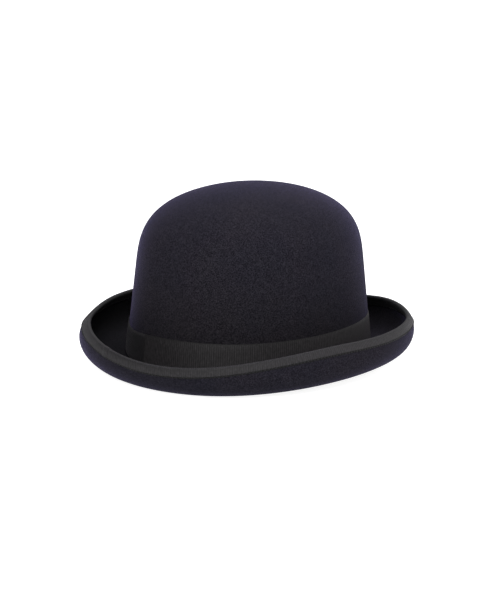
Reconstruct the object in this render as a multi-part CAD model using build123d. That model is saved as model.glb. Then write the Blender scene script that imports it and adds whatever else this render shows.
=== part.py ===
"""A bowler hat in millimetres: front at -Y, wearer's left at +X, resting on its brim at z = 0.

The felt body is one shell. Everything else follows its wall or its brim, so each piece is
described by where it lies on that surface: a turn about the crown, a height above the break
line where crown meets brim, and a depth measured inward from the felt's outer face.
"""

from build123d import *
import os
from math import cos, degrees, exp, hypot, pi, radians, sin

# Crown
HALF_LENGTH = 102.8
HALF_WIDTH = 86.6
CROWN_HEIGHT = 127.8
SHOULDER_START = 0.537
SHOULDER_POWER = 3.445
SHOULDER_ROOT = 2.06
WALL_TAPER = 0.145
FELT = 2.6

# Brim: each pair is the value at the front and back dips, then at the sides
BREAK_RISE = (0.0, 5.4)
FLAT_WIDTH = (8.8, 13.2)
ROLL_RADIUS = (20.3, 16.5)
ROLL_END = (93.5, 126.7)
FALL_ANGLE = (5.9, 0.4)
BEND_RADIUS = 3.0
RISE_BLEND = -0.1
BRIM_BLEND = 0.6
BASE_LIFT = 0.984

# Waver left by shaping the brim by hand: turn and spread in degrees, then size in millimetres
EDGE_LIFTS = (
    (72, 9, -1.3),
    (120, 16, 1.4),
    (203, 10, 1.0),
    (234, 10, -0.8),
    (301, 12, 1.8),
    (340, 12, -0.8),
)
ROLL_BULGES = ((60, 14, 2.1), (242, 16, -0.9))

# Outside ribbons
RIBBON = 0.5
LAY = 0.05
BAND_BOTTOM = 5.9
BAND_TOP = (31.8, 28.2)
BAND_DIPS = ((45, 15, -3.6),)
BINDING = 0.45
BINDING_WIDTH = 6.0
BINDING_JOIN = 25.0
THREAD = 0.3
THREAD_INSET = 0.7

# Flat bow on the wearer's left, its tail running back: turns in degrees from the back of the hat
TAIL_END = 25.0
BOW_REAR = 70.5
BOW_CENTRE = 90.0
BOW_FRONT = 109.5
KNOT_HALF = 4.0
KNOT_LAYER = 0.35
LOOP_LAYER = 1.3
BOW_INSET = 0.4

# Inside fittings
LEATHER = 0.9
LEATHER_DEPTH = 3.55
LEATHER_BOTTOM = 1.75
LEATHER_TOP = 46.0
REED_RADIUS = 0.8
REED_HEIGHT = 0.75
TAPE = 0.3
TAPE_TOP = 8.0
TAPE_SEAM = 6.4
LINING = 0.3
LINING_GAP = 0.1
LINING_BOTTOM = 24.0
TIP_SHARE = 0.93
PIPING_RADIUS = 0.45
TICKET_TURNS = (12.0, 27.0)
TICKET_HEIGHTS = (26.0, 38.0)
TICKET_LAYER = 0.2
SMALL_BOW = 5.5

STATIONS = 36
FOOT = BEND_RADIUS + FELT
LEVEL_SHARE = 0.95
WALL_SHARES = (0.07, 0.14, 0.22, 0.3, 0.4, 0.5, 0.58, 0.66, 0.74, 0.81, 0.87, 0.915)
DOME_SHARES = (0.948, 0.97, 0.984, 0.993, 0.998, 0.9995)


def blended(pair, turn, blend=BRIM_BLEND):
    """A value that changes from the dips to the sides."""
    share = sin(turn) ** 2 + blend * sin(2 * turn) ** 2
    return pair[0] + (pair[1] - pair[0]) * share


def break_rise(turn):
    """How far the break line climbs towards the sides."""
    return blended(BREAK_RISE, turn, RISE_BLEND)


def base_height(turn):
    return BASE_LIFT + break_rise(turn)


def profile(rise):
    """Share of the crown's plan size left at this share of its height."""
    shoulder = max(rise - SHOULDER_START, 0) / (1 - SHOULDER_START)
    return (1 - shoulder**SHOULDER_POWER) ** (1 / SHOULDER_ROOT) * (1 - WALL_TAPER * rise)


def crown_point(turn, rise, depth=0.0):
    """A point of the crown at a share of its height, with the surface sunk by depth."""
    size = profile(rise)
    levelled = break_rise(turn) * max(1 - rise / LEVEL_SHARE, 0)
    return Vector(
        (HALF_WIDTH - depth) * size * sin(turn),
        (HALF_LENGTH - depth) * size * cos(turn),
        BASE_LIFT + levelled + rise * (CROWN_HEIGHT - depth),
    )


def wall_share(turn, height):
    """Share of the crown's height at this height above the break line."""
    return height / (CROWN_HEIGHT - break_rise(turn) / LEVEL_SHARE)


def outward(turn):
    """Plan direction square to the crown's wall."""
    x = HALF_LENGTH * sin(turn)
    y = HALF_WIDTH * cos(turn)
    return Vector(x / hypot(x, y), y / hypot(x, y), 0)


def wall_point(turn, height, depth=0.0):
    """A point at a height above the break line, on the wall or inward of it."""
    return crown_point(turn, wall_share(turn, height)) - outward(turn) * depth


def waver(turn, bumps):
    """Sum of smooth bumps, each with its own turn, spread and size."""
    total = 0
    for centre, spread, size in bumps:
        away = (degrees(turn) - centre + 180) % 360 - 180
        total += size * exp(-((away / spread) ** 2) / 2)
    return total


def brim_section(turn, along, lift):
    """Brim centre curve: 0 to 1 round the bend, 1 to 2 across the flat, 2 to 3 up the roll.

    Returns the distance out from the wall, the height above the break line and the heading.
    lift is the distance from the underside towards the upper side.
    """
    fall = radians(blended(FALL_ANGLE, turn))
    if along <= 1:
        heading = -pi / 2 + (pi / 2 - fall) * along
        out = BEND_RADIUS - (FOOT - lift) * cos(heading + pi / 2)
        up = FOOT - (FOOT - lift) * sin(heading + pi / 2)
        return out, up, heading
    out, up, heading = brim_section(turn, 1, 0)
    flat = blended(FLAT_WIDTH, turn) * min(along - 1, 1)
    out += flat * cos(heading)
    up += flat * sin(heading)
    if along > 2:
        radius = blended(ROLL_RADIUS, turn)
        start = heading
        heading += (radians(blended(ROLL_END, turn)) - start) * (along - 2)
        out += radius * (sin(heading) - sin(start))
        out += waver(turn, ROLL_BULGES) * sin(pi * (along - 2))
        up += radius * (cos(start) - cos(heading))
        up += waver(turn, EDGE_LIFTS) * (along - 2) ** 1.5
    return out - lift * sin(heading), up + lift * cos(heading), heading


def placed(turn, out, up):
    foot = wall_point(turn, FOOT)
    side = outward(turn) * out
    return Vector(foot.X + side.X, foot.Y + side.Y, base_height(turn) + up)


def brim_point(turn, along, lift):
    out, up, _ = brim_section(turn, along, lift)
    return placed(turn, out, up)


def rim_point(turn, angle, clearance=0.0):
    """A point round the brim's edge: 0 degrees underside, 180 upper side."""
    out, up, heading = brim_section(turn, 3, FELT / 2)
    reach = FELT / 2 + clearance
    ahead = reach * sin(radians(angle))
    under = reach * cos(radians(angle))
    return placed(
        turn,
        out + ahead * cos(heading) + under * sin(heading),
        up + ahead * sin(heading) - under * cos(heading),
    )


def roll_station(turn, distance):
    """Station on the roll that lies this far back from the brim's edge."""
    sweep = radians(blended(ROLL_END, turn) + blended(FALL_ANGLE, turn))
    return 3 - distance / (blended(ROLL_RADIUS, turn) * sweep)


def ring(point_at):
    """Closed curve round the hat through point_at(turn)."""
    points = [point_at(2 * pi * i / STATIONS) for i in range(STATIONS)]
    return Wire([Edge.make_spline(points, periodic=True)])


def skinned(runs, caps=()):
    """Solid bounded by a loft through each run of rings, with flat caps on the named rings."""
    faces = []
    for run in runs:
        faces += Shell.make_loft(run, ruled=len(run) == 2).faces()
    faces += [Face(cap) for cap in caps]
    return Solid(Shell(Face.sew_faces(faces)[0]))


def joined(runs):
    """Runs in order, each made to start on the very ring the last one ended with."""
    for before, after in zip(runs, runs[1:]):
        after[0] = before[-1]
    return runs


def hoop(corners):
    """Solid hoop whose section has these corners, each a function of the turn."""
    rings = [ring(corner) for corner in corners]
    return skinned([[rings[i - 1], rings[i]] for i in range(len(rings))])


def wall_hoop(low, high, near, far):
    """Straight-sided hoop on the crown's wall, between two heights and two depths."""
    return hoop(
        [
            lambda t: wall_point(t, low, near),
            lambda t: wall_point(t, high, near),
            lambda t: wall_point(t, high, far),
            lambda t: wall_point(t, low, far),
        ]
    )


def wall_patch(start, end, low, high, near, far, stations=9):
    """Curved slab on the wall between two turns in degrees; high(turn) is its upper edge."""
    sections = []
    for i in range(stations):
        turn = radians(start + (end - start) * i / (stations - 1))
        corners = [
            wall_point(turn, low, near),
            wall_point(turn, high(turn), near),
            wall_point(turn, high(turn), far),
            wall_point(turn, low, far),
        ]
        sections.append(Wire.make_polygon(corners, close=True))
    return Solid.make_loft(sections)


def slit(solid, turn_degrees, width):
    """The hoop cut through at one turn, where its two ends meet."""
    turn = radians(turn_degrees)
    direction = outward(turn)
    middle = wall_point(turn, 20) + direction * 10
    blade = Box(80, width, 120)
    heading = Plane(origin=middle, x_dir=direction, z_dir=(0, 0, 1))
    return (solid - heading * blade).solids()[0]


def crown_rings(shares, depth):
    return [ring(lambda t: crown_point(t, share, depth)) for share in shares]


def brim_rings(stations, lift):
    return [ring(lambda t: brim_point(t, along, lift)) for along in stations]


def edge_rings(distances, lift):
    """Rings on the roll at these distances back from the brim's edge."""
    return [ring(lambda t: brim_point(t, roll_station(t, d), lift)) for d in distances]


def rim_rings(clearance=0.0):
    return [ring(lambda t: rim_point(t, angle, clearance)) for angle in (45, 90, 135)]


def felt_body():
    """One shell: inside of the crown, underside, rounded edge, upper side, outside."""
    bend = (0, 0.25, 0.5, 0.75, 1)
    flat = (1, 1.33, 1.67, 2)
    roll = tuple(2 + i / 10 for i in range(11))
    under = [brim_rings(part, 0) for part in (bend, flat, roll)]
    upper = [brim_rings(part[::-1], FELT) for part in (roll, flat, bend)]
    inner = crown_rings(WALL_SHARES + DOME_SHARES, FELT)
    outer = crown_rings(WALL_SHARES + DOME_SHARES, 0)
    runs = [
        [*inner[::-1], under[0][0]],
        *under,
        [under[-1][-1], *rim_rings(), upper[0][0]],
        *upper,
        [upper[-1][-1], *outer],
    ]
    return skinned(joined(runs), caps=(inner[-1], outer[-1]))


def band_top(turn, extra=0.0):
    """Upper edge of the ribbon, which rises less towards the sides than the brim does."""
    return blended(BAND_TOP, turn, RISE_BLEND) + waver(turn, BAND_DIPS) + extra


def crown_band():
    near = -LAY
    far = near - RIBBON
    band = hoop(
        [
            lambda t: wall_point(t, BAND_BOTTOM, near),
            lambda t: wall_point(t, band_top(t), near),
            lambda t: wall_point(t, band_top(t), far),
            lambda t: wall_point(t, BAND_BOTTOM, far),
        ]
    )
    return slit(band, BOW_CENTRE, 0.4)


def bow_pieces():
    """Flat bow from the ribbon outwards: long tail, knot's back, loops, knot's front."""
    low = BAND_BOTTOM + BOW_INSET
    tail = -(2 * LAY + RIBBON)
    knot_back = tail - RIBBON - LAY
    loops = knot_back - KNOT_LAYER - LAY
    knot_front = loops - LOOP_LAYER - LAY
    middle = (BOW_CENTRE - KNOT_HALF, BOW_CENTRE + KNOT_HALF)
    wrap = KNOT_LAYER + LAY
    sleeve = wall_patch(
        *middle,
        low - wrap,
        lambda t: band_top(t, wrap - BOW_INSET),
        knot_back,
        knot_front - KNOT_LAYER,
    )
    hollow = wall_patch(
        middle[0] - 1,
        middle[1] + 1,
        low - LAY,
        lambda t: band_top(t, LAY - BOW_INSET),
        loops + LAY,
        knot_front,
    )
    return {
        "bow_tail": bow_strip(TAIL_END, BOW_FRONT - 2, tail, RIBBON),
        "bow_loop_rear": bow_strip(BOW_REAR, BOW_CENTRE - 0.2, loops, LOOP_LAYER),
        "bow_loop_front": bow_strip(BOW_CENTRE + 0.2, BOW_FRONT, loops, LOOP_LAYER),
        "bow_knot": (sleeve - hollow).solids()[0],
    }


def bow_strip(start, end, near, thickness):
    """Length of ribbon lying along the crown's ribbon, a little narrower than it."""
    return wall_patch(
        start,
        end,
        BAND_BOTTOM + BOW_INSET,
        lambda t: band_top(t, -BOW_INSET),
        near,
        near - thickness,
        stations=13,
    )


def brim_binding():
    """Ribbon folded over the brim's edge, its two ends meeting behind the wearer's left."""
    back = (BINDING_WIDTH, BINDING_WIDTH * 2 / 3, BINDING_WIDTH / 3, 0)
    paths = []
    for clearance in (LAY + BINDING, LAY):
        under = edge_rings(back, -clearance)
        upper = edge_rings(back[::-1], FELT + clearance)
        paths.append([under, [under[-1], *rim_rings(clearance), upper[0]], upper])
    outer, inner = paths
    turned = [run[::-1] for run in inner[::-1]]
    runs = [
        *outer,
        [outer[-1][-1], turned[0][0]],
        *turned,
        [turned[-1][-1], outer[0][0]],
    ]
    return slit(skinned(runs), BINDING_JOIN, 0.15)


def binding_thread(lift, side):
    """Row of stitching laid on one face of the binding."""
    low = BINDING_WIDTH - THREAD_INSET
    high = low + THREAD
    start = lift + side * (BINDING + 2 * LAY)
    end = start + side * THREAD
    corners = ((low, start), (high, start), (high, end), (low, end))
    return hoop([brim_corner(*corner) for corner in corners])


def brim_corner(distance, lift):
    return lambda t: brim_point(t, roll_station(t, distance), lift)


def sweatband():
    far = LEATHER_DEPTH + LEATHER / 2
    near = LEATHER_DEPTH - LEATHER / 2
    return slit(wall_hoop(LEATHER_BOTTOM, LEATHER_TOP, near, far), 0, 0.3)


def round_rings(centre, radius, angles):
    """Rings round a rod: centre(turn) gives its middle, angle 0 points inward."""
    rings = []
    for angle in angles:
        across = radius * cos(radians(angle))
        up = Vector(0, 0, radius * sin(radians(angle)))
        rings.append(ring(lambda t: centre(t) - outward(t) * across + up))
    return rings


def rod(centre, radius):
    first = round_rings(centre, radius, (0, 45, 90, 135, 180))
    second = round_rings(centre, radius, (225, 270, 315))
    return skinned([first, [first[-1], *second, first[0]]])


def reed_centre(turn):
    return wall_point(turn, REED_HEIGHT, LEATHER_DEPTH)


def reed_tape():
    """Cloth tape folded under the reed, its legs rising on both faces of the leather."""
    paths = []
    for extra in (LAY + TAPE, LAY):
        half = LEATHER / 2 + extra
        low = LEATHER_BOTTOM + extra / 2
        bottom = round_rings(reed_centre, REED_RADIUS + extra, (140, 185, 230, 270, 310, 355, 400))
        legs = [
            ring(lambda t: wall_point(t, height, LEATHER_DEPTH + side * half))
            for side, height in ((-1, TAPE_TOP), (-1, low), (1, low), (1, TAPE_TOP))
        ]
        paths.append(
            [[legs[0], legs[1]], [legs[1], bottom[0]], bottom, [bottom[-1], legs[2]], legs[2:]]
        )
    outer, inner = paths
    turned = [run[::-1] for run in inner[::-1]]
    return skinned(
        [*outer, [outer[-1][-1], turned[0][0]], *turned, [turned[-1][-1], outer[0][0]]]
    )


def sweatband_thread():
    near = LEATHER_DEPTH + LEATHER / 2 + TAPE + 2 * LAY
    return wall_hoop(TAPE_SEAM, TAPE_SEAM + THREAD, near, near + THREAD)


def sweatband_bow():
    """Small flat bow over the joint of the sweatband at the back."""
    near = LEATHER_DEPTH + LEATHER / 2 + LAY
    low = (TAPE_TOP + LEATHER_TOP) / 2
    high = low + SMALL_BOW
    wings = wall_patch(-7, 7, low, lambda t: high, near, near + 0.8)
    knot = wall_patch(-1.2, 1.2, low - 0.3, lambda t: high + 0.3, near, near + 1.5, stations=3)
    return (wings + knot).solids()[0]


def size_ticket():
    near = LEATHER_DEPTH + LEATHER / 2 + LAY
    low, high = TICKET_HEIGHTS
    return wall_patch(*TICKET_TURNS, low, lambda t: high, near, near + TICKET_LAYER)


def lining_wall():
    """Side panel of the lining, from behind the sweatband up to the tip's seam."""
    shares = [share for share in WALL_SHARES if share > 0.25] + [TIP_SHARE]
    near = FELT + LINING_GAP
    faces = []
    for depth in (near, near + LINING):
        low = ring(lambda t: crown_point(t, wall_share(t, LINING_BOTTOM), depth))
        faces.append([low, *crown_rings(shares, depth)])
    outer, inner = faces
    return skinned([outer, [outer[-1], inner[-1]], inner[::-1], [inner[0], outer[0]]])


def lining_tip():
    shares = (TIP_SHARE + 0.002, *DOME_SHARES)
    near = FELT + LINING_GAP
    outer = crown_rings(shares, near)
    inner = crown_rings(shares, near + LINING)
    return skinned([outer[::-1], [outer[0], inner[0]], inner], caps=(outer[-1], inner[-1]))


def tip_piping():
    depth = FELT + LINING_GAP + LINING + LAY + PIPING_RADIUS * 1.2
    return rod(lambda t: crown_point(t, TIP_SHARE, depth), PIPING_RADIUS)


def main():
    pieces = {
        "felt_body": felt_body(),
        "crown_band": crown_band(),
        **bow_pieces(),
        "brim_binding": brim_binding(),
        "binding_thread_outer": binding_thread(0, -1),
        "binding_thread_inner": binding_thread(FELT, 1),
        "sweatband": sweatband(),
        "sweatband_reed": rod(reed_centre, REED_RADIUS),
        "reed_tape": reed_tape(),
        "sweatband_thread": sweatband_thread(),
        "sweatband_bow": sweatband_bow(),
        "size_ticket": size_ticket(),
        "lining_wall": lining_wall(),
        "lining_tip": lining_tip(),
        "tip_piping": tip_piping(),
    }
    os.makedirs("parts", exist_ok=True)
    for name, solid in pieces.items():
        export_step(solid, f"parts/{name}.step")


main()
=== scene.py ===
"""Looks of the bowler hat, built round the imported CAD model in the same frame.

Every piece is laid on the hat's wall or brim by a turn about the crown (0 at the back, 90 degrees
at the wearer's left), a height above the break line and a depth inward from the felt's face.
"""

from math import cos, pi, radians, sin

import bpy
import numpy as np
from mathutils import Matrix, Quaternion, Vector


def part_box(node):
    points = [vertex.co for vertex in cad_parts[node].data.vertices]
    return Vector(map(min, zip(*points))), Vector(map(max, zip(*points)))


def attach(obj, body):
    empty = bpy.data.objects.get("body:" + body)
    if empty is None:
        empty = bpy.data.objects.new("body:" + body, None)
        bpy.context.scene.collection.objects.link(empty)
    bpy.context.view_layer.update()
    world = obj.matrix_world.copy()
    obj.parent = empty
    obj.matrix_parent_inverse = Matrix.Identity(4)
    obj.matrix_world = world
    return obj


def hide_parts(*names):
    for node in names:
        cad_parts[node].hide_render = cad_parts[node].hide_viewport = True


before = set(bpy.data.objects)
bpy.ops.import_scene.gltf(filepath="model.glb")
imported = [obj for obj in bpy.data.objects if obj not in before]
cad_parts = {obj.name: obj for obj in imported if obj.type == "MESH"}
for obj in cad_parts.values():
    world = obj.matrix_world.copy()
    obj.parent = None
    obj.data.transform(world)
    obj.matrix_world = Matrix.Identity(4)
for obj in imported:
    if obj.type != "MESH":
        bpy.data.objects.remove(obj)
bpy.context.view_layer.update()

MM = 0.001
FELT_LOW, FELT_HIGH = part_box("felt_body")
CENTRE = (FELT_LOW + FELT_HIGH) / 2

# Hat form in millimetres; each pair is the value at the front and back dips, then at the sides
HALF_LENGTH = 102.8
HALF_WIDTH = 86.6
CROWN_HEIGHT = 127.8
SHOULDER_START = 0.537
SHOULDER_POWER = 3.445
SHOULDER_ROOT = 2.06
WALL_TAPER = 0.145
LEVEL_SHARE = 0.95
FELT = 2.6
BREAK_RISE = (0.0, 5.4)
FLAT_WIDTH = (8.8, 13.2)
ROLL_RADIUS = (20.3, 16.5)
ROLL_END = (93.5, 126.7)
FALL_ANGLE = (5.9, 0.4)
BEND_RADIUS = 3.0
FOOT = BEND_RADIUS + FELT
RISE_BLEND = -0.1
BRIM_BLEND = 0.6
BASE_LIFT = (FELT_HIGH.z - FELT_LOW.z) / MM - CROWN_HEIGHT

# Waver left by shaping the brim by hand: turn and spread in degrees, then size in millimetres
EDGE_LIFTS = (
    (72, 9, -1.3),
    (120, 16, 1.4),
    (203, 10, 1.0),
    (234, 10, -0.8),
    (301, 12, 1.8),
    (340, 12, -0.8),
)
ROLL_BULGES = ((60, 14, 2.1), (242, 16, -0.9))

# Ribbons: the pitch of their cords, how many points each cord has along the round ribbons and
# along the bow's, then the binding, whose ends lap at a turn in degrees
RIB_PITCH = 1.6
ROUND_STEPS = 5
BOW_STEPS = 6
BINDING_WIDTH = 6.0
BINDING_JOIN = 25.0
LAP_HALF = 1.6
STITCH_LINE = BINDING_WIDTH - 0.55
STITCH_LIFT = 0.52

# Rough lengths in millimetres for the cloth of pieces that don't measure their own
FELT_GIRTH = 600.0
HEAD_GIRTH = 565.0
TIP_GIRTH = 300.0
PIPING_GIRTH = 330.0
TICKET_LENGTH = 25.0


# ---------------------------------------------------------------- form of the hat


def blended(pair, turn, blend=BRIM_BLEND):
    """A pair's value at a turn: its first at the front and back, its second at the sides."""
    share = np.sin(turn) ** 2 + blend * np.sin(2 * turn) ** 2
    return pair[0] + (pair[1] - pair[0]) * share


def break_rise(turn):
    """How far the line where crown meets brim lies above its lowest point."""
    return blended(BREAK_RISE, turn, RISE_BLEND)


def profile(rise):
    """Size of the crown's oval at a share of its height, as a share of the full oval."""
    shoulder = np.clip((rise - SHOULDER_START) / (1 - SHOULDER_START), 0, 1)
    return (1 - shoulder**SHOULDER_POWER) ** (1 / SHOULDER_ROOT) * (1 - WALL_TAPER * rise)


def crown(turn, rise, depth=0.0):
    """Points of the crown at a share of its height, with the surface sunk by depth.

    depth is one number, or one for each turn.
    """
    rise = np.broadcast_to(rise, turn.shape)
    size = profile(rise)
    levelled = break_rise(turn) * np.maximum(1 - rise / LEVEL_SHARE, 0)
    return np.stack(
        [
            (HALF_WIDTH - depth) * size * np.sin(turn),
            (HALF_LENGTH - depth) * size * np.cos(turn),
            BASE_LIFT + levelled + rise * (CROWN_HEIGHT - depth),
        ],
        -1,
    )


def wall_share(turn, height):
    """Share of the crown's height that a height above the break line comes to."""
    return height / (CROWN_HEIGHT - break_rise(turn) / LEVEL_SHARE)


def outward(turn):
    """Level direction square to the wall, pointing out of the hat."""
    square = np.stack([HALF_LENGTH * np.sin(turn), HALF_WIDTH * np.cos(turn), 0 * turn], -1)
    return square / np.linalg.norm(square, axis=-1, keepdims=True)


def wall(turn, height, depth=0.0):
    """Points at a height above the break line, on the crown's wall or inward of it."""
    inward = outward(turn) * np.broadcast_to(depth, turn.shape)[..., None]
    return crown(turn, wall_share(turn, height)) - inward


def hand_shaped(turn, bumps):
    """Sum of smooth bumps, each with its own turn, spread and size."""
    total = np.zeros_like(turn)
    for centre, spread, size in bumps:
        away = (np.degrees(turn) - centre + 180) % 360 - 180
        total += size * np.exp(-((away / spread) ** 2) / 2)
    return total


def brim_section(turn, along, lift):
    """Distance out, height and heading on the brim: bend 0 to 1, flat 1 to 2, roll 2 to 3."""
    fall = np.radians(blended(FALL_ANGLE, turn))
    along = np.broadcast_to(along, turn.shape)
    heading = -pi / 2 + (pi / 2 - fall) * np.clip(along, 0, 1)
    on_bend = along < 1
    out = BEND_RADIUS - FOOT * np.cos(heading + pi / 2)
    up = FOOT - FOOT * np.sin(heading + pi / 2)
    flat = blended(FLAT_WIDTH, turn) * np.clip(along - 1, 0, 1)
    out = out + np.where(on_bend, 0, flat * np.cos(fall))
    up = up - np.where(on_bend, 0, flat * np.sin(fall))
    radius = blended(ROLL_RADIUS, turn)
    rolled = (np.radians(blended(ROLL_END, turn)) + fall) * np.clip(along - 2, 0, None)
    turned = heading + rolled
    share = np.clip(along - 2, 0, 1)
    out = out + radius * (np.sin(turned) - np.sin(heading)) * (along > 2)
    out = out + hand_shaped(turn, ROLL_BULGES) * np.sin(pi * share)
    up = up + radius * (np.cos(heading) - np.cos(turned)) * (along > 2)
    up = up + hand_shaped(turn, EDGE_LIFTS) * share**1.5
    return out - lift * np.sin(turned), up + lift * np.cos(turned), turned


def placed(turn, out, up):
    """Points at a distance out from the wall's foot and a height above the break line."""
    foot = wall(turn, FOOT)
    points = foot + outward(turn) * out[..., None]
    points[..., 2] = BASE_LIFT + break_rise(turn) + up
    return points


def brim(turn, along, lift):
    """Points on the brim's underside, or lifted square to it, as with FELT for its upper side."""
    out, up, _ = brim_section(turn, along, lift)
    return placed(turn, out, up)


def rim(turn, angle, clearance=0.0):
    """Points round the brim's edge: 0 degrees underside, 180 upper side."""
    out, up, heading = brim_section(turn, 3.0, FELT / 2)
    reach = FELT / 2 + clearance
    ahead = reach * sin(radians(angle))
    under = reach * cos(radians(angle))
    return placed(
        turn,
        out + ahead * np.cos(heading) + under * np.sin(heading),
        up + ahead * np.sin(heading) - under * np.cos(heading),
    )


def roll_station(turn, distance):
    """Station on the roll at a distance back from the brim's edge."""
    sweep = np.radians(blended(ROLL_END, turn) + blended(FALL_ANGLE, turn))
    return 3 - distance / (blended(ROLL_RADIUS, turn) * sweep)


def even_turns(curve, count):
    """Turns that step evenly along a curve round the hat, and the curve's length."""
    fine = np.linspace(0, 2 * pi, 2881)
    run = runs(curve(fine))
    return np.interp(np.linspace(0, run[-1], count), run, fine), run[-1]


def ripple(turn, waves, seed):
    """Smooth closed wobble round the hat, between about -1 and 1."""
    rng = np.random.default_rng(seed)
    total = np.zeros_like(turn)
    for wave in waves:
        total += rng.uniform(0.5, 1) * np.sin(wave * turn + rng.uniform(0, 2 * pi))
    return total / len(waves)


# ---------------------------------------------------------------- mesh building


def to_world(points):
    """From millimetres about the middle of the hat's foot to the frame's metres."""
    return points * MM + np.array([CENTRE.x, CENTRE.y, FELT_LOW.z])


def mesh_piece(name, points, faces, uvs=None):
    """Object from points in millimetres; uvs holds one pair in millimetres for each point."""
    mesh = bpy.data.meshes.new(name)
    mesh.from_pydata(to_world(np.asarray(points, float)).tolist(), [], faces)
    if uvs is not None:
        layer = mesh.uv_layers.new(name="cloth")
        index = np.zeros(len(mesh.loops), np.int32)
        mesh.loops.foreach_get("vertex_index", index)
        layer.data.foreach_set("uv", (np.asarray(uvs, float)[index] * MM).ravel())
    mesh.shade_smooth()
    mesh.validate()
    piece = bpy.data.objects.new(name, mesh)
    bpy.context.scene.collection.objects.link(piece)
    return piece


def grid_faces(rows, columns, close_rows, close_columns, start=0):
    """Quads between rows of points, whose first point has the number start."""
    faces = []
    for r in range(rows if close_rows else rows - 1):
        below = start + r * columns
        above = start + ((r + 1) % rows) * columns
        for c in range(columns if close_columns else columns - 1):
            n = (c + 1) % columns
            faces.append((below + c, below + n, above + n, above + c))
    return faces


def strip_faces(rows, columns, start=0):
    """Faces of a strip with a closed section and both ends capped."""
    faces = grid_faces(rows, columns, True, False, start)
    faces.append(tuple(start + r * columns for r in range(rows)))
    faces.append(tuple(start + r * columns + columns - 1 for r in reversed(range(rows))))
    return faces


def runs(path):
    """Distance along a path up to each of its points."""
    return np.concatenate([[0], np.cumsum(np.linalg.norm(np.diff(path, axis=0), axis=1))])


def row_runs(rows):
    """Distance across the piece at each row, measured down one of its columns."""
    return runs(np.array([row[len(row) // 3] for row in rows]))


def hoop_piece(name, rows, length):
    """Closed hoop from rows of points round the hat; the section closes on itself."""
    columns = len(rows[0])
    across = np.repeat(row_runs(rows), columns)
    along = np.tile(np.arange(columns) / columns * length, len(rows))
    faces = grid_faces(len(rows), columns, True, True)
    return mesh_piece(name, np.concatenate(rows), faces, np.stack([along, across], -1))


def strip_piece(name, rows, length):
    """Open strip with a closed section and capped ends."""
    columns = len(rows[0])
    across = np.repeat(row_runs(rows), columns)
    along = np.tile(np.linspace(0, length, columns), len(rows))
    faces = strip_faces(len(rows), columns)
    return mesh_piece(name, np.concatenate(rows), faces, np.stack([along, across], -1))


def dome_piece(name, rows, length):
    """Shell from rows of points that start and end near the crown's pole, closed by two fans."""
    columns = len(rows[0])
    points = np.concatenate(rows)
    poles = np.array([rows[0].mean(0), rows[-1].mean(0)])
    faces = grid_faces(len(rows), columns, False, True)
    first = len(points)
    last = (len(rows) - 1) * columns
    for c in range(columns):
        n = (c + 1) % columns
        faces.append((first, n, c))
        faces.append((first + 1, last + c, last + n))
    run = row_runs(rows)
    across = np.append(np.repeat(run, columns), [0, run[-1]])
    along = np.append(np.tile(np.arange(columns) / columns * length, len(rows)), [0, 0])
    return mesh_piece(name, np.concatenate([points, poles]), faces, np.stack([along, across], -1))


def finish_piece(piece, material, node):
    """Gives a piece its material in a slot and its body, and hides the CAD node it stands for."""
    piece.data.materials.append(material)
    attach(piece, "root")
    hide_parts(node)


# ---------------------------------------------------------------- materials


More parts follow.
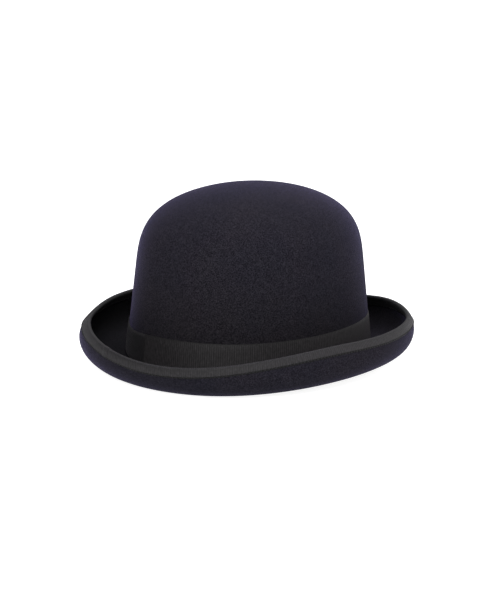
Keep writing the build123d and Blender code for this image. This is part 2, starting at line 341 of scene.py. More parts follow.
class Shader:
    """A short way to build a node material."""

    def __init__(self, name):
        self.material = bpy.data.materials.new(name)
        self.material.use_nodes = True
        self.nodes = self.material.node_tree.nodes
        self.links = self.material.node_tree.links
        self.surface = self.nodes["Principled BSDF"]
        self.coords = self.nodes.new("ShaderNodeTexCoord")

    def set(self, **values):
        for name, value in values.items():
            self.surface.inputs[name.replace("_", " ")].default_value = value

    def link(self, source, target):
        self.links.new(source, target)

    def feed(self, value, socket):
        """Sets a socket to a number or a colour, or links another node's output to it."""
        if isinstance(value, (int, float)):
            socket.default_value = value
        elif isinstance(value, tuple):
            socket.default_value = (*value, 1)
        else:
            self.link(value, socket)

    def place(self, space="Object", scale=(1, 1, 1)):
        mapping = self.nodes.new("ShaderNodeMapping")
        mapping.inputs["Scale"].default_value = scale
        self.link(self.coords.outputs[space], mapping.inputs["Vector"])
        return mapping.outputs["Vector"]

    def noise(self, scale, vector=None, detail=4, roughness=0.6, distortion=0.0):
        node = self.nodes.new("ShaderNodeTexNoise")
        node.inputs["Scale"].default_value = scale
        node.inputs["Detail"].default_value = detail
        node.inputs["Roughness"].default_value = roughness
        node.inputs["Distortion"].default_value = distortion
        self.link(vector or self.coords.outputs["Object"], node.inputs["Vector"])
        return node.outputs["Fac"]

    def cells(self, scale, feature="F1", output="Distance"):
        node = self.nodes.new("ShaderNodeTexVoronoi")
        node.feature = feature
        node.inputs["Scale"].default_value = scale
        node.inputs["Randomness"].default_value = 1.0
        self.link(self.coords.outputs["Object"], node.inputs["Vector"])
        return node.outputs[output]

    def bands(self, scale, vector, direction, distortion=0.0):
        node = self.nodes.new("ShaderNodeTexWave")
        node.wave_type = "BANDS"
        node.bands_direction = direction
        node.inputs["Scale"].default_value = scale
        node.inputs["Distortion"].default_value = distortion
        node.inputs["Detail Scale"].default_value = 1.0
        self.link(vector, node.inputs["Vector"])
        return node.outputs["Fac"]

    def ramp(self, factor, *stops):
        """Colour ramp from pairs of a position and a colour, or one number for a grey."""
        node = self.nodes.new("ShaderNodeValToRGB")
        elements = node.color_ramp.elements
        while len(elements) < len(stops):
            elements.new(0.5)
        for element, (position, colour) in zip(elements, stops):
            element.position = position
            element.color = (*(colour if isinstance(colour, tuple) else (colour,) * 3), 1)
        self.link(factor, node.inputs["Fac"])
        return node.outputs["Color"]

    def mix(self, factor, first, second, mode="MIX"):
        node = self.nodes.new("ShaderNodeMix")
        node.data_type = "RGBA"
        node.blend_type = mode
        # Sockets 0, 6 and 7 are the factor and the two colours, and output 2 is the mixed colour
        for value, socket in ((factor, 0), (first, 6), (second, 7)):
            self.feed(value, node.inputs[socket])
        return node.outputs[2]

    def shaded(self, colour, *shades):
        """A colour multiplied by each of the shades in turn."""
        for shade in shades:
            colour = self.mix(1.0, colour, shade, "MULTIPLY")
        return colour

    def maths(self, operation, first, second):
        node = self.nodes.new("ShaderNodeMath")
        node.operation = operation
        for value, socket in zip((first, second), node.inputs):
            self.feed(value, socket)
        return node.outputs[0]

    def axis(self, vector, name):
        node = self.nodes.new("ShaderNodeSeparateXYZ")
        self.link(vector, node.inputs["Vector"])
        return node.outputs[name]

    def painted(self, name):
        """A value stored on the mesh's own points."""
        node = self.nodes.new("ShaderNodeAttribute")
        node.attribute_name = name
        return node.outputs["Fac"]

    def bump(self, height, strength, distance):
        node = self.nodes.new("ShaderNodeBump")
        node.inputs["Strength"].default_value = strength
        node.inputs["Distance"].default_value = distance
        self.link(height, node.inputs["Height"])
        self.link(node.outputs["Normal"], self.surface.inputs["Normal"])

    def colour(self, socket):
        self.link(socket, self.surface.inputs["Base Color"])

    def rough(self, socket):
        self.link(socket, self.surface.inputs["Roughness"])


def felt_material():
    """Brushed wool felt: matted fibres, cloudy dye, stray pale lint.

    The piece's points store a painted shade, from 0 to 1, that darkens the dye and weakens the
    sheen.
    """
    s = Shader("wool_felt")
    s.set(Sheen_Roughness=0.3, Sheen_Tint=(0.53, 0.46, 1.0, 1))
    s.set(Specular_IOR_Level=0.04)
    fibres = s.noise(2600, s.place(scale=(1, 1, 0.35)), detail=3, roughness=0.7, distortion=1.2)
    grain = s.noise(1150, detail=1, roughness=0.6, distortion=0.4)
    tufts = s.noise(300, detail=4, roughness=0.65, distortion=0.6)
    clouds = s.noise(17, detail=3)
    dye = s.ramp(clouds, (0.35, (0.0068, 0.0065, 0.0098)), (0.65, (0.0084, 0.0076, 0.0105)))
    nap = s.ramp(grain, (0.34, (0.42, 0.43, 0.46)), (0.66, (1.64, 1.62, 1.56)))
    worn = s.ramp(tufts, (0.34, (0.82, 0.80, 0.84)), (0.66, (1.18, 1.20, 1.16)))
    # Painted shade: the stored value darkens the felt towards a dull grey and weakens its sheen
    painted_shade = s.painted("painted_shade")
    painted_shade_tint = s.ramp(painted_shade, (0, 1.0), (0.44, (0.72, 0.70, 0.58)), (1, (0.26, 0.27, 0.23)))
    body = s.shaded(dye, nap, worn, painted_shade_tint)
    raised = s.maths("SUBTRACT", 0.092, s.maths("MULTIPLY", painted_shade, 0.13))
    s.link(s.maths("MAXIMUM", raised, 0.012), s.surface.inputs["Sheen Weight"])
    fleck = s.ramp(s.cells(95, output="Color"), (0.958, 0.0), (0.968, 1.0))
    dot = s.ramp(s.cells(95), (0.05, 1.0), (0.09, 0.0))
    lint = s.shaded(fleck, dot)
    s.colour(s.mix(lint, body, (0.16, 0.15, 0.17)))
    s.rough(s.ramp(tufts, (0.2, 0.80), (0.8, 0.98)))
    s.bump(s.mix(0.5, fibres, grain), 0.6, 0.0004)
    return s.material


def grosgrain_material(name, dark, light, sheen, groove, across=()):
    """Corded ribbon: ribs across its width, fine warp threads along it.

    groove is the shade between the ribs. across holds the stops of a painted shade and painted
    highlight laid over the ribbon's width, as metres and a share. Points with a painted value
    take a painted shade.
    """
    s = Shader(name)
    s.set(Sheen_Weight=sheen, Sheen_Roughness=0.35, Sheen_Tint=(0.80, 0.78, 0.86, 1))
    s.set(Specular_IOR_Level=0.16)
    cloth = s.place("UV")
    warp = s.bands(1800, cloth, "Y")
    # A wave texture repeats every 2 pi / 20 at scale 1
    ribs = s.bands(pi * 2 / (RIB_PITCH * MM) / 20, cloth, "X")
    slubs = s.noise(420, s.place("UV", (6, 0.6, 1)), detail=3)
    threads = s.noise(900, s.place("UV", (1, 0.35, 1)), detail=2, roughness=0.7)
    wear = s.noise(60, detail=4)
    shade = s.ramp(slubs, (0.3, dark), (0.7, light))
    shade = s.mix(s.maths("MULTIPLY", wear, 0.25), shade, light)
    cords = s.ramp(ribs, (0.1, groove), (0.8, 1.9 - groove))
    shade = s.shaded(shade, cords, s.ramp(threads, (0.36, 0.62), (0.64, (1.36, 1.34, 1.36))))
    # Painted shade: points with a painted value fall to 0.3 of their colour
    shade = s.mix(s.painted("edge_shade"), shade, s.shaded(shade, (0.30, 0.30, 0.30)))
    # The stops lay painted shade and painted highlight over the ribbon's width
    if across:
        reach = across[-1][0]
        level = s.maths("DIVIDE", s.axis(cloth, "Y"), reach)
        shade = s.shaded(shade, s.ramp(level, *((place / reach, share) for place, share in across)))
    s.colour(shade)
    s.rough(s.ramp(slubs, (0.2, 0.52), (0.8, 0.72)))
    s.bump(s.mix(0.35, ribs, warp), 0.35, 0.00012)
    return s.material


def thread_material(name, colour):
    """Twisted thread."""
    s = Shader(name)
    s.set(Specular_IOR_Level=0.12)
    twist = s.bands(2600, s.place("Object"), "DIAGONAL")
    lighter = tuple(min(c * 1.8, 1) for c in colour)
    s.colour(s.ramp(twist, (0.2, colour), (0.8, lighter)))
    s.rough(s.ramp(twist, (0, 0.5), (1, 0.7)))
    s.bump(twist, 0.5, 0.0001)
    return s.material


def leather_material():
    """Dark brown leather with fine creases and pores."""
    s = Shader("sweatband_leather")
    s.set(Specular_IOR_Level=0.45, Coat_Weight=0.08, Coat_Roughness=0.35)
    grain = s.cells(1500, feature="DISTANCE_TO_EDGE")
    pores = s.noise(3800, detail=2)
    patina = s.noise(30, detail=5, roughness=0.65)
    s.colour(s.ramp(patina, (0.3, (0.030, 0.017, 0.011)), (0.7, (0.070, 0.040, 0.024))))
    s.rough(s.ramp(patina, (0.2, 0.38), (0.8, 0.56)))
    creases = s.ramp(grain, (0.0, (0, 0, 0)), (0.12, (1, 1, 1)))
    s.bump(s.mix(0.25, creases, pores), 0.35, 0.00015)
    return s.material


def satin_material():
    """Dark blue satin, finely woven and glossy."""
    s = Shader("lining_satin")
    s.set(Specular_IOR_Level=0.6, Sheen_Weight=0.15, Anisotropic=0.5)
    cloth = s.place("UV")
    weave = s.bands(2400, cloth, "X", distortion=0.6)
    tone = s.noise(55, detail=3)
    s.colour(s.ramp(tone, (0.3, (0.010, 0.011, 0.024)), (0.7, (0.020, 0.021, 0.040))))
    s.rough(s.ramp(tone, (0.2, 0.28), (0.8, 0.42)))
    s.bump(weave, 0.2, 0.00006)
    return s.material


def tape_material(name, dark, light):
    """Plain woven cotton."""
    s = Shader(name)
    s.set(Sheen_Weight=0.2, Specular_IOR_Level=0.3)
    cloth = s.place("UV")
    over = s.bands(1100, cloth, "X")
    under = s.bands(1100, cloth, "Y")
    weave = s.mix(0.5, over, under)
    s.colour(s.ramp(weave, (0.25, dark), (0.75, light)))
    s.rough(s.ramp(weave, (0, 0.75), (1, 0.92)))
    s.bump(weave, 0.5, 0.0001)
    return s.material


def reed_material():
    """Pale plastic, faintly streaked along the reed."""
    s = Shader("reed_plastic")
    s.set(Specular_IOR_Level=0.5)
    streaks = s.noise(180, s.place(scale=(1, 1, 6)), detail=3)
    s.colour(s.ramp(streaks, (0.3, (0.36, 0.33, 0.26)), (0.7, (0.50, 0.47, 0.39))))
    s.rough(s.ramp(streaks, (0, 0.35), (1, 0.5)))
    s.bump(streaks, 0.15, 0.0001)
    return s.material


NAVY_FELT = felt_material()
# The bow's ribbon is a darker, duller copy of the crown's grosgrain: painted shade over the whole
# bow
SHADED_BOW_RIBBON = grosgrain_material(
    "shaded_bow_grosgrain",
    dark=(0.0030, 0.0028, 0.0034),
    light=(0.0052, 0.0048, 0.0056),
    sheen=0.02,
    groove=0.7,
)
CROWN_RIBBON = grosgrain_material(
    "crown_grosgrain",
    dark=(0.0064, 0.0058, 0.0064),
    light=(0.0106, 0.0096, 0.0104),
    sheen=0.03,
    groove=0.5,
)
# From the binding's lower outer edge: a painted shadow line where it meets the felt, a painted
# highlight just above, then painted shade growing over the rim and down its upper side
BINDING_RIBBON = grosgrain_material(
    "binding_grosgrain",
    dark=(0.0074, 0.0069, 0.0076),
    light=(0.0124, 0.0116, 0.0126),
    sheen=0.02,
    groove=0.74,
    across=(
        (0.0, 0.02),
        (0.0011, 0.05),
        (0.0014, 1.12),
        (0.0045, 1.0),
        (0.0062, 0.78),
        (0.0080, 0.66),
        (0.0100, 0.45),
        (0.0175, 0.25),
    ),
)
BLACK_THREAD = thread_material("black_thread", (0.0040, 0.0038, 0.0046))
LEATHER = leather_material()
SATIN = satin_material()
COTTON = tape_material("cotton_tape", (0.012, 0.012, 0.014), (0.035, 0.035, 0.040))
TICKET = tape_material("ticket_cloth", (0.50, 0.48, 0.43), (0.68, 0.66, 0.60))
REED = reed_material()


# ---------------------------------------------------------------- felt


def rim_waver(turn):
    """Slight waver of the brim's edge, up and down."""
    return 0.22 * ripple(turn, (2, 3, 5, 7), 11)


def waved(points, along, waver):
    """The brim lifted by its waver, which dies away towards the crown."""
    points = points.copy()
    points[:, 2] += waver * max(along - 1, 0) / 2
    return points


def paint_points(piece, name, values):
    """Stores one value per vertex, for the piece's material to read."""
    layer = piece.data.attributes.new(name, "FLOAT", "POINT")
    layer.data.foreach_set("value", values)


def felt_piece():
    """Crown and brim in one shell, with the slight waver of hand-finished felt."""
    count = 480
    turn = np.linspace(0, 2 * pi, count, endpoint=False)
    waver = rim_waver(turn)
    bend = np.linspace(0, 1, 9)
    flat = np.linspace(1, 2, 7)
    roll = np.linspace(2, 3, 26)
    stations = np.concatenate([bend, flat[1:], roll[1:]])
    walls = np.linspace(FOOT / CROWN_HEIGHT + 0.012, SHOULDER_START, 34)
    dome = SHOULDER_START + (1 - SHOULDER_START) * np.sin(np.linspace(0.02, 0.995, 60) * pi / 2)
    levels = np.concatenate([walls, dome])
    inner = [crown(turn, level, FELT) for level in levels]
    outer = [crown(turn, level) for level in levels]
    under = [waved(brim(turn, along, 0), along, waver) for along in stations]
    upper = [waved(brim(turn, along, FELT), along, waver) for along in stations]
    edge = [waved(rim(turn, angle), 3, waver) for angle in np.linspace(20, 160, 8)]
    rows = [*inner[::-1], *under, *edge, *upper[::-1], *outer]
    piece = dome_piece("felt_shell", rows, FELT_GIRTH)
    # Painted shade: deepest on the brim's upper side in the gutter, less so at the front right,
    # then in a ring under the start of the roll, and a little towards the foot of the crown
    gutter_shade = 1 - 0.7 * np.clip(np.cos(turn - radians(235)), 0, 1)
    roll_shade = np.exp(-(((stations - 2.08) / 0.08) ** 2))
    crown_foot_shade = 0.32 * np.clip((0.60 - levels) / 0.36, 0, 1)
    painted_shade = [
        np.zeros(len(inner) * count),
        np.repeat(roll_shade, count),
        np.zeros(len(edge) * count),
        np.tile(gutter_shade, len(upper)),
        np.repeat(crown_foot_shade, count),
        np.zeros(2),
    ]
    paint_points(piece, "painted_shade", np.concatenate(painted_shade))
    finish_piece(piece, NAVY_FELT, "felt_body")


# ---------------------------------------------------------------- ribbons


BAND_LOW = (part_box("crown_band")[0].z - FELT_LOW.z) / MM - BASE_LIFT
BAND_TOP = (31.8, 28.2)
BAND_DIPS = ((45, 15, -3.6),)
BAND_FACE = 0.42
BAND_BACK = 0.06


def band_top(turn):
    """Upper edge of the ribbon, which rises less towards the sides than the brim does."""
    return blended(BAND_TOP, turn, RISE_BLEND) + hand_shaped(turn, BAND_DIPS)


def ribs(run, depth, pitch=RIB_PITCH):
    """Height of the cords of a grosgrain at each distance along it."""
    wave = 0.5 + 0.5 * np.cos(2 * pi * run / pitch)
    return depth * wave**0.7


def corded_round(curve, depth):
    """Turns along a curve round the hat with a whole number of cords, their height and length."""
    _, length = even_turns(curve, 200)
    waves = round(length / RIB_PITCH)
    columns = waves * ROUND_STEPS
    turn, _ = even_turns(curve, columns + 1)
    cord = ribs(np.arange(columns) / columns * waves, depth, 1.0)
    return turn[:-1], cord, waves * RIB_PITCH


def crown_band():
    """Ribbon drawn round the foot of the crown, its edges thinned against the felt and darkened by
    painted shade.
    """
    middle = (BAND_LOW + BAND_TOP[1]) / 2
    turn, cord, length = corded_round(lambda t: wall(t, middle), 0.10)
    drift = 0.18 * ripple(turn, (3, 5, 8), 5)
    width = band_top(turn) - BAND_LOW - 0.2 + drift
    rows = []
    edge_shade = []
    for share in 0.5 - 0.5 * np.cos(np.linspace(0, pi, 19)):
        edge = 0.32 * abs(2 * share - 1) ** 12
        height = BAND_LOW + 0.1 + width * share
        proud = BAND_FACE - 0.06 + cord * (1 - 2 * edge) - edge
        rows.append(wall(turn, height, -proud))
        # Painted shade along both edges of the face, and over the whole back
        edge_shade.append(min(abs(2 * share - 1) ** 16 * 1.6, 1))
    for share in np.linspace(1, 0, 5):
        rows.append(wall(turn, BAND_LOW + 0.1 + width * share, -BAND_BACK))
        edge_shade.append(1)
    piece = hoop_piece("crown_band_ribbon", rows, length)
    paint_points(piece, "edge_shade", np.repeat(edge_shade, len(turn)))
    finish_piece(piece, CROWN_RIBBON, "crown_band")


def binding():
    """Ribbon folded over the brim's edge, its ends lapped behind the wearer's left."""
    turn, cord, length = corded_round(lambda t: brim(t, 3.0, 0), 0.09)
    waver = rim_waver(turn)
    drift = 0.22 * ripple(turn, (4, 7, 11), 21)
    back = BINDING_WIDTH * (1 - np.linspace(0, 1, 15) ** 1.5)

    def laid(distance, side, clearance, sewn):
        """A row of the binding's underside (side -1) or its upper side (side 1)."""
        station = roll_station(turn, distance - side * drift * distance / BINDING_WIDTH)
        lift = side * (clearance - (seam_dip(distance) if sewn else 0))
        return waved(brim(turn, station, lift + (FELT if side > 0 else 0)), 3, waver)

    rows = []
    for sewn, clearance in ((True, 0.38 + cord + lap_step(turn)), (False, 0.03 + 0 * cord)):
        under = [laid(distance, -1, clearance, sewn) for distance in back]
        around = [waved(rim(turn, angle, clearance), 3, waver) for angle in np.linspace(15, 165, 9)]
        upper = [laid(distance, 1, clearance, sewn) for distance in back[::-1]]
        path = [*under, *around, *upper]
        rows += path if sewn else path[::-1]
    piece = hoop_piece("brim_binding_ribbon", rows, length)
    finish_piece(piece, BINDING_RIBBON, "brim_binding")


def seam_dip(distance):
    """How far the binding sinks along its stitching and at its pressed edge."""
    stitched = 0.22 * np.exp(-(((distance - STITCH_LINE) / 0.45) ** 2))
    return stitched + 0.25 * (distance / BINDING_WIDTH) ** 24


def lap_step(turn):
    """Extra thickness where the binding's upper end lies over its lower one."""
    away = np.abs(np.degrees(turn) - BINDING_JOIN + LAP_HALF)
    return 0.30 * np.clip(1 - away / LAP_HALF, 0, 1) ** 0.25


# ---------------------------------------------------------------- stitching


def stitches(name, node, place, count, length, thread, sink):
    """Short tight stitches, sunk at their ends, along place(turn) -> points and their facing."""
    turns, run = even_turns(lambda t: place(t)[0], count + 1)
    pitch = run / count
    rng = np.random.default_rng(len(name))
    points, faces = [], []
    sides = 6
    for i in range(count):
        slip = rng.uniform(-0.06, 0.06) * pitch
        shares = np.linspace(-0.5, 0.5, 6) * length
        step = (turns[i + 1] - turns[i]) / pitch
        local = turns[i] + (shares + slip) * step
        centre, face = place(local)
        tangent = np.gradient(centre, axis=0)
        tangent /= np.linalg.norm(tangent, axis=1, keepdims=True)
        across = np.cross(tangent, face)
        arch = sink * (1 - (2 * shares / length) ** 4)
        width = thread * (0.55 + 0.45 * (1 - (2 * shares / length) ** 6))
        first = len(points)
        for s in range(len(shares)):
            for k in range(sides):
                angle = 2 * pi * k / sides
                lean = across[s] * cos(angle) + face[s] * sin(angle)
                points.append(centre[s] + face[s] * (arch[s] - sink) + lean * width[s])
        faces += grid_faces(len(shares), sides, False, True, first)
        faces.append(tuple(first + k for k in reversed(range(sides))))
        faces.append(tuple(first + (len(shares) - 1) * sides + k for k in range(sides)))
    finish_piece(mesh_piece(name, points, faces), BLACK_THREAD, node)


def binding_row(lift, side):
    """Place of a stitch on one face of the binding, and the way that face looks."""

    def place(turn):
        waver = rim_waver(turn)
        station = roll_station(turn, STITCH_LINE)
        centre = waved(brim(turn, station, lift + side * STITCH_LIFT), 3, waver)
        lifted = waved(brim(turn, station, lift + side * (STITCH_LIFT + 1)), 3, waver)
        return centre, lifted - centre

    return place


def sweatband_row(turn):
    """Place of a stitch through the reed tape, seen from inside the hat."""
    return wall(turn, TAPE_SEAM, LEATHER_FACE + 0.36), -outward(turn)


# ---------------------------------------------------------------- bow


# Turns in degrees, then depths, which are negative because the bow stands proud of the felt
TAIL_END = 25.0
LOOP_ENDS = (70.5, 109.5)
BOW_CENTRE = 90.0
KNOT_HALF = 4.0
TAIL_DEPTH = -0.66
TAIL_THICKNESS = 0.30
LOOP_DEPTHS = (-1.82, -2.38)
LOOP_THICKNESS = 0.44
KNOT_DEPTHS = (-1.32, -3.05)
BOW_INSET = 0.4
BOW_LOW = BAND_LOW + BOW_INSET


def bow_top(turn):
    """Upper edge of the bow, just short of the ribbon's."""
    return band_top(turn) - BOW_INSET


def ribbon_strip(name, turns, depths, thickness, wobble=0.0):
    """Ribbon standing on edge along a path of turns (degrees) and depths on the wall."""
    turns = np.radians(turns)
    run = runs(wall(turns, (BOW_LOW + bow_top(turns)) / 2, depths))
    waves = round(run[-1] / RIB_PITCH)
    dense = np.linspace(0, run[-1], waves * BOW_STEPS + 1)
    turn = np.interp(dense, run, turns)
    depth = np.interp(dense, run, depths)
    width = bow_top(turn) - BOW_LOW
    line = wall(turn, BOW_LOW + width / 2, depth)
    tangent = np.gradient(line, axis=0)
    tangent[:, 2] = 0
    tangent /= np.linalg.norm(tangent, axis=1, keepdims=True)
    normal = np.stack([-tangent[:, 1], tangent[:, 0], 0 * dense], -1)
    cord = ribs(dense, 0.09)
    sway = wobble * np.sin(dense / run[-1] * pi * 3)
    rows = []
    for side, shares in ((1, np.linspace(0, 1, 11)), (-1, np.linspace(1, 0, 11))):
        for share in shares:
            height = BOW_LOW + width * share + sway * (share - 0.5)
            round_off = 0.12 * abs(2 * share - 1) ** 10
            reach = side * (thickness / 2 - 0.045 + cord - round_off)
            rows.append(wall(turn, height, depth) + normal * np.reshape(reach, (-1, 1)))
    return strip_piece(name, rows, run[-1])


def bow_loop(name, end, node):
    """Folded ribbon: out from the knot, round at the loop's end and back over itself."""
    side = 1 if end > BOW_CENTRE else -1
    inner, outer = LOOP_DEPTHS
    reach = abs(end - BOW_CENTRE)
    shares = np.linspace(0, 1, 60)
    straight = 0.3 + (reach - 0.55) * shares
    bends = np.linspace(0, pi, 14)[1:-1]
    puff = [0.45 * sin(pi * min(max((share - 0.12) / 0.88, 0), 1)) ** 1.2 for share in shares]
    aside = [straight, reach - 0.25 + 0.22 * np.sin(bends), straight[::-1]]
    depths = [
        np.full(60, inner),
        (inner + outer) / 2 + (inner - outer) / 2 * np.cos(bends),
        outer - np.array(puff[::-1]),
    ]
    turns = BOW_CENTRE + side * np.concatenate(aside)
    piece = ribbon_strip(name, turns, np.concatenate(depths), LOOP_THICKNESS, wobble=0.25)
    finish_piece(piece, SHADED_BOW_RIBBON, node)


def bow_knot():
    """Narrow ribbon wrapped over the middle of the bow and tucked in behind it."""
    low, high = BOW_LOW - 0.28, bow_top(radians(BOW_CENTRE)) + 0.28
    back, front = KNOT_DEPTHS
    loop = []
    for height in np.linspace(low, high, 90):
        bulge = 0.2 * sin(pi * (height - low) / (high - low)) ** 0.6
        loop.append((height, front - bulge))
    loop += [(high + 0.1, -2.5), (high + 0.12, -1.8), (high, back)]
    for height in np.linspace(high - 0.4, low + 0.4, 12):
        loop.append((height, back))
    loop += [(low, back), (low - 0.12, -1.8), (low - 0.1, -2.5)]
    loop = np.array(loop)
    run = runs(loop)
    dense = np.linspace(0, run[-1], round(run[-1] / RIB_PITCH) * BOW_STEPS)
    heights = np.interp(dense, run, loop[:, 0])
    depths = np.interp(dense, run, loop[:, 1])
    path = np.stack([depths, heights], -1)
    tangent = np.gradient(path, axis=0)
    tangent /= np.linalg.norm(tangent, axis=1, keepdims=True)
    cord = ribs(dense, 0.08)
    columns = len(dense)
    rows = []
    for side, shares in ((-1, np.linspace(-1, 1, 11)), (1, np.linspace(1, -1, 11))):
        for share in shares:
            turn = np.full(columns, radians(BOW_CENTRE + KNOT_HALF * share))
            reach = side * (0.13 + cord - 0.08 * abs(share) ** 8)
            depth = depths + tangent[:, 1] * reach
            height = heights - tangent[:, 0] * reach
            rows.append(wall(turn, height, depth))
    piece = hoop_piece("bow_knot_wrap", rows, run[-1])
    finish_piece(piece, SHADED_BOW_RIBBON, "bow_knot")


def bow():
    """Flat bow on the wearer's left: a tail under it, two loops and the knot between them."""
    turns = np.linspace(TAIL_END, LOOP_ENDS[1] - 2, 160)
    tail = ribbon_strip("bow_tail_strip", turns, np.full(160, TAIL_DEPTH), TAIL_THICKNESS)
    finish_piece(tail, SHADED_BOW_RIBBON, "bow_tail")
    bow_loop("bow_rear_loop", LOOP_ENDS[0], "bow_loop_rear")
    bow_loop("bow_front_loop", LOOP_ENDS[1], "bow_loop_front")
    bow_knot()


# ---------------------------------------------------------------- inside


LEATHER_DEPTH = 3.55
LEATHER_FACE = LEATHER_DEPTH + 0.45
LEATHER_LOW = 1.75
LEATHER_HIGH = 46.0
REED_HEIGHT = 0.75
REED_RADIUS = 0.8
TAPE_TOP = 8.0
TAPE_SEAM = 6.5
LINING_LOW = 24.0
LINING_DEPTH = FELT + 0.12
LINING_PLEATS = 64
PLEAT_START = 0.45
TIP_SHARE = 0.93
PIPING_DEPTH = LINING_DEPTH + 0.87
SMALL_BOW_WIDTH = 5.5
TICKET_TURNS = (12.0, 27.0)
TICKET_LOW = 26.0
TICKET_HEIGHT = 12.0


def sweatband():
    """Leather band standing against the wall, its upper edge slightly wavy and rounded."""
    count = 900
    turn = np.linspace(0, 2 * pi, count, endpoint=False)
    wave = 0.45 * ripple(turn, (3, 5, 9, 14), 31)
    ease = 0.22 * ripple(turn, (4, 7, 13), 33)
    rows = []
    faces = ((0.42, np.linspace(0, 1, 22)), (-0.42, np.linspace(1, 0, 22)))
    for side, shares in faces:
        for share in shares:
            height = LEATHER_LOW + (LEATHER_HIGH - 0.6 - LEATHER_LOW) * share + wave * share**3
            round_off = 1 - 0.35 * abs(2 * share - 1) ** 30
            depth = LEATHER_DEPTH + side * round_off + 0.22 * share + ease * 0.4 * share
            rows.append(wall(turn, height, depth))
    piece = hoop_piece("sweatband_leather", rows, HEAD_GIRTH)
    finish_piece(piece, LEATHER, "sweatband")


def around_reed(turn, radius, angles):
    """Rows round the reed, which lies in the foot of the leather."""
    centre = wall(turn, REED_HEIGHT, LEATHER_DEPTH)
    rows = []
    for angle in angles:
        row = centre - outward(turn) * radius * cos(radians(angle))
        row[:, 2] += radius * sin(radians(angle))
        rows.append(row)
    return rows


def reed_and_tape():
    """Plastic reed, and the cotton tape folded round it and sewn to the leather."""
    turn = np.linspace(0, 2 * pi, 720, endpoint=False)
    rod = around_reed(turn, REED_RADIUS - 0.03, np.linspace(0, 360, 13)[:-1])
    reed = hoop_piece("reed_rod", rod, HEAD_GIRTH)
    finish_piece(reed, REED, "sweatband_reed")
    crimp = 0.03 * np.sin(turn * 220)

    def side(heights, depth):
        """One side of the tape, whose cut upper edge is crimped."""
        return [wall(turn, h + crimp * (h == TAPE_TOP), depth) for h in heights]

    rows = []
    for extra in (0.33, 0.06):
        half = 0.45 + extra
        heights = np.linspace(TAPE_TOP, LEATHER_LOW + extra / 2, 8)
        path = side(heights, LEATHER_DEPTH - half)
        path += around_reed(turn, REED_RADIUS + extra, np.linspace(140, 400, 14))
        path += side(heights[::-1], LEATHER_DEPTH + half)
        rows += path if extra > 0.1 else path[::-1]
    tape = hoop_piece("reed_tape_cloth", rows, HEAD_GIRTH)
    finish_piece(tape, COTTON, "reed_tape")


def lining():
    """Satin side panel drawn into soft pleats towards the tip, and the smooth tip."""
    count = 1440
    turn, length = even_turns(lambda t: wall(t, 60.0), count + 1)
    turn = turn[:-1]
    rng = np.random.default_rng(8)
    phase = np.cumsum(rng.uniform(0.6, 1.4, count))
    phase = 2 * pi * LINING_PLEATS * phase / phase[-1]
    pleat = (0.5 + 0.5 * np.sin(phase)) ** 1.6
    start = LINING_LOW / CROWN_HEIGHT
    levels = np.concatenate([np.linspace(start, 0.55, 10), np.linspace(0.58, TIP_SHARE, 34)])
    rows = []
    for extra in (0.26, 0.0):
        face = []
        for level in levels:
            draw = np.clip((level - PLEAT_START) / (TIP_SHARE - PLEAT_START), 0, 1)
            depth = LINING_DEPTH + extra + 0.08 + 0.85 * pleat * draw
            share = wall_share(turn, LINING_LOW) if level == start else level
            face.append(crown(turn, share, depth))
        rows += face if extra > 0.1 else face[::-1]
    side = hoop_piece("lining_side", rows, length)
    finish_piece(side, SATIN, "lining_wall")
    levels = TIP_SHARE + 0.002 + (0.9996 - TIP_SHARE) * np.sin(np.linspace(0, 1, 26) * pi / 2)
    turn = np.linspace(0, 2 * pi, 360, endpoint=False)
    upper = [crown(turn, level, LINING_DEPTH + 0.02) for level in levels]
    lower = [crown(turn, level, LINING_DEPTH + 0.26) for level in levels]
    tip = dome_piece("lining_crown_tip", [*lower[::-1], *upper], TIP_GIRTH)
    finish_piece(tip, SATIN, "lining_tip")


def tip_piping():
    """Corded piping on the seam between the lining's side and its tip."""
    turn = np.linspace(0, 2 * pi, 1440, endpoint=False)
    centre = crown(turn, TIP_SHARE, PIPING_DEPTH)
    rows = []
    for angle in np.linspace(0, 2 * pi, 12, endpoint=False):
        radius = 0.40 + 0.05 * np.cos(angle + turn * 90)
        row = centre - outward(turn) * (radius * cos(angle))[:, None]
        row[:, 2] += radius * sin(angle)
        rows.append(row)
    piece = hoop_piece("tip_piping_cord", rows, PIPING_GIRTH)
    finish_piece(piece, BLACK_THREAD, "tip_piping")


def small_bow():
    """Narrow bow, in the black thread's finish, over the sweatband's joint at the back."""
    low = (TAPE_TOP + LEATHER_HIGH) / 2
    high = low + SMALL_BOW_WIDTH
    depth = LEATHER_FACE + 0.3
    strips = []
    for side in (-1, 1):
        share = np.linspace(0, 1, 40)
        turns = side * (0.2 + 6.5 * np.sin(share * pi))
        lift = depth + 0.18 + 0.55 * (share > 0.5) + 0.55 * np.sin(share * pi) ** 2
        strips.append((turns, lift, low, high))
    turns = np.linspace(-1.1, 1.1, 12)
    strips.append((turns, depth + 1.15 - 0.25 * (turns / 1.1) ** 2, low - 0.2, high + 0.2))
    points, faces = [], []
    for turns, lift, bottom, top in strips:
        pinch = np.clip(np.abs(turns) / 3.5, 0.55, 1)
        faces += strip_faces(14, len(turns), len(points))
        for shift, shares in ((0.0, np.linspace(-1, 1, 7)), (0.16, np.linspace(1, -1, 7))):
            for share in shares:
                height = (bottom + top) / 2 + share * (top - bottom) / 2 * pinch
                points += list(wall(np.radians(turns), height, lift + shift))
    piece = mesh_piece("sweatband_small_bow", points, faces)
    finish_piece(piece, BLACK_THREAD, "sweatband_bow")


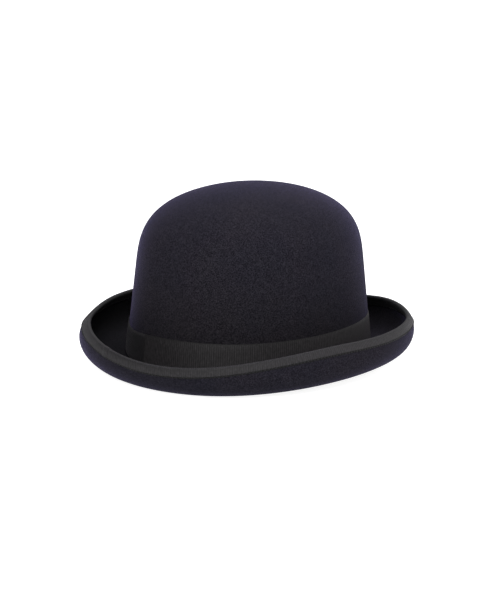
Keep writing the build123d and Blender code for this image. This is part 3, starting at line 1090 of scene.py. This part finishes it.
def size_ticket():
    """Blank folded ticket tucked on the leather."""
    turns = np.linspace(*TICKET_TURNS, 60)
    across = (turns - TICKET_TURNS[0]) / (TICKET_TURNS[1] - TICKET_TURNS[0])
    rows = []
    for shift, levels in ((0.15, np.linspace(0, 1, 9)), (0.3, np.linspace(1, 0, 9))):
        for level in levels:
            depth = LEATHER_FACE + shift + 0.35 * np.sin(level * pi) * np.sin(across * pi)
            rows.append(wall(np.radians(turns), TICKET_LOW + TICKET_HEIGHT * level, depth))
    piece = strip_piece("size_ticket_cloth", rows, TICKET_LENGTH)
    finish_piece(piece, TICKET, "size_ticket")


# ---------------------------------------------------------------- stage, light and camera


FLOOR_SIZE = 12.0
FLOOR_GAP = 0.0002


def studio():
    """Plain pale floor, which glows as painted light so that it reads as white, the hat's shadow on
    it stays faint and the brim is lit from below, and the surroundings.
    """
    s = Shader("pale_floor")
    s.set(Roughness=0.9, Emission_Color=(1, 1, 1, 1), Emission_Strength=0.90)
    mottle = s.noise(3.0, detail=2)
    s.colour(s.ramp(mottle, (0.3, 0.38), (0.7, 0.40)))
    place = (0, 0, FELT_LOW.z - FLOOR_GAP)
    bpy.ops.mesh.primitive_plane_add(size=FLOOR_SIZE, location=place)
    floor = bpy.context.object
    floor.name = "studio_floor"
    floor.data.materials.append(s.material)
    world = bpy.data.worlds.new("studio")
    bpy.context.scene.world = world
    world.use_nodes = True
    world.node_tree.nodes["Background"].inputs["Color"].default_value = (1, 1, 1, 1)
    brighter_above(world.node_tree)


def brighter_above(tree):
    """Surroundings brightest above the wearer's right, and dimmest low on the wearer's left."""
    place = tree.nodes.new("ShaderNodeTexCoord")
    facing = tree.nodes.new("ShaderNodeVectorMath")
    facing.operation = "DOT_PRODUCT"
    facing.inputs[1].default_value = (-0.40, -0.21, 0.89)
    level = tree.nodes.new("ShaderNodeMapRange")
    level.inputs["From Min"].default_value = -0.3
    level.inputs["From Max"].default_value = 0.9
    level.inputs["To Min"].default_value = 0.0
    level.inputs["To Max"].default_value = 1.5
    tree.links.new(place.outputs["Generated"], facing.inputs[0])
    tree.links.new(facing.outputs["Value"], level.inputs["Value"])
    tree.links.new(level.outputs["Result"], tree.nodes["Background"].inputs["Strength"])


def soft_light(name, azimuth, elevation, distance, size, power, colour=(1, 1, 1)):
    """Rectangular light aimed at the hat; size in metres, power in watts."""
    data = bpy.data.lights.new(name, "AREA")
    data.shape = "RECTANGLE"
    data.size, data.size_y = size
    data.energy = power
    data.color = colour
    light = bpy.data.objects.new(name, data)
    bpy.context.scene.collection.objects.link(light)
    a, e = radians(azimuth), radians(elevation)
    back = Vector((sin(a) * cos(e), -cos(a) * cos(e), sin(e)))
    light.location = Vector((0, 0, 0.06)) + back * distance
    light.rotation_mode = "QUATERNION"
    light.rotation_quaternion = (-back).to_track_quat("-Z", "Y")


def photograph_camera():
    """Camera a little above the hat, seen from behind its right side."""
    azimuth, elevation, roll = radians(208.1), radians(12.37), radians(0.70)
    distance, focal_px = 1.8, 2457.0
    data = bpy.data.cameras.new("camera")
    # The sensor's 36 mm lie along the longer side of the 500 x 600 picture
    data.sensor_width = 36.0
    data.lens = focal_px / 600 * 36
    camera = bpy.data.objects.new("camera", data)
    bpy.context.scene.collection.objects.link(camera)
    back = Vector((sin(azimuth) * cos(elevation), -cos(azimuth) * cos(elevation), sin(elevation)))
    looked_at = Vector((CENTRE.x, CENTRE.y, FELT_LOW.z + BASE_LIFT * MM + 0.060))
    place = looked_at + back * distance
    tilt = Quaternion((0, 0, 1), roll)
    # The hat sits a little above the middle of the picture, so the camera aims below it
    below = (-back).to_track_quat("-Z", "Y") @ tilt @ Vector((-0.0002, -0.0177, 0))
    aim = (looked_at + below - place).to_track_quat("-Z", "Y")
    camera.location = place
    camera.rotation_mode = "QUATERNION"
    camera.rotation_quaternion = aim @ tilt
    bpy.context.scene.camera = camera


felt_piece()
crown_band()
binding()
stitches(
    "binding_stitches_outer",
    "binding_thread_outer",
    binding_row(0, -1),
    count=300,
    length=1.5,
    thread=0.30,
    sink=0.14,
)
stitches(
    "binding_stitches_inner",
    "binding_thread_inner",
    binding_row(FELT, 1),
    count=350,
    length=1.3,
    thread=0.23,
    sink=0.14,
)
bow()
sweatband()
reed_and_tape()
stitches(
    "sweatband_stitches",
    "sweatband_thread",
    sweatband_row,
    count=240,
    length=1.7,
    thread=0.15,
    sink=0.12,
)
lining()
tip_piping()
small_bow()
size_ticket()
studio()
soft_light("key_soft", 192, 30, distance=1.8, size=(0.8, 0.8), power=30)
soft_light("top_soft", 28, 76, distance=1.8, size=(1.0, 0.8), power=23, colour=(0.88, 0.85, 1.0))
soft_light("right_soft", 292, 35, distance=1.6, size=(0.5, 1.2), power=6.5, colour=(1, 0.95, 0.98))
photograph_camera()
bpy.context.scene.view_settings.view_transform = "Standard"
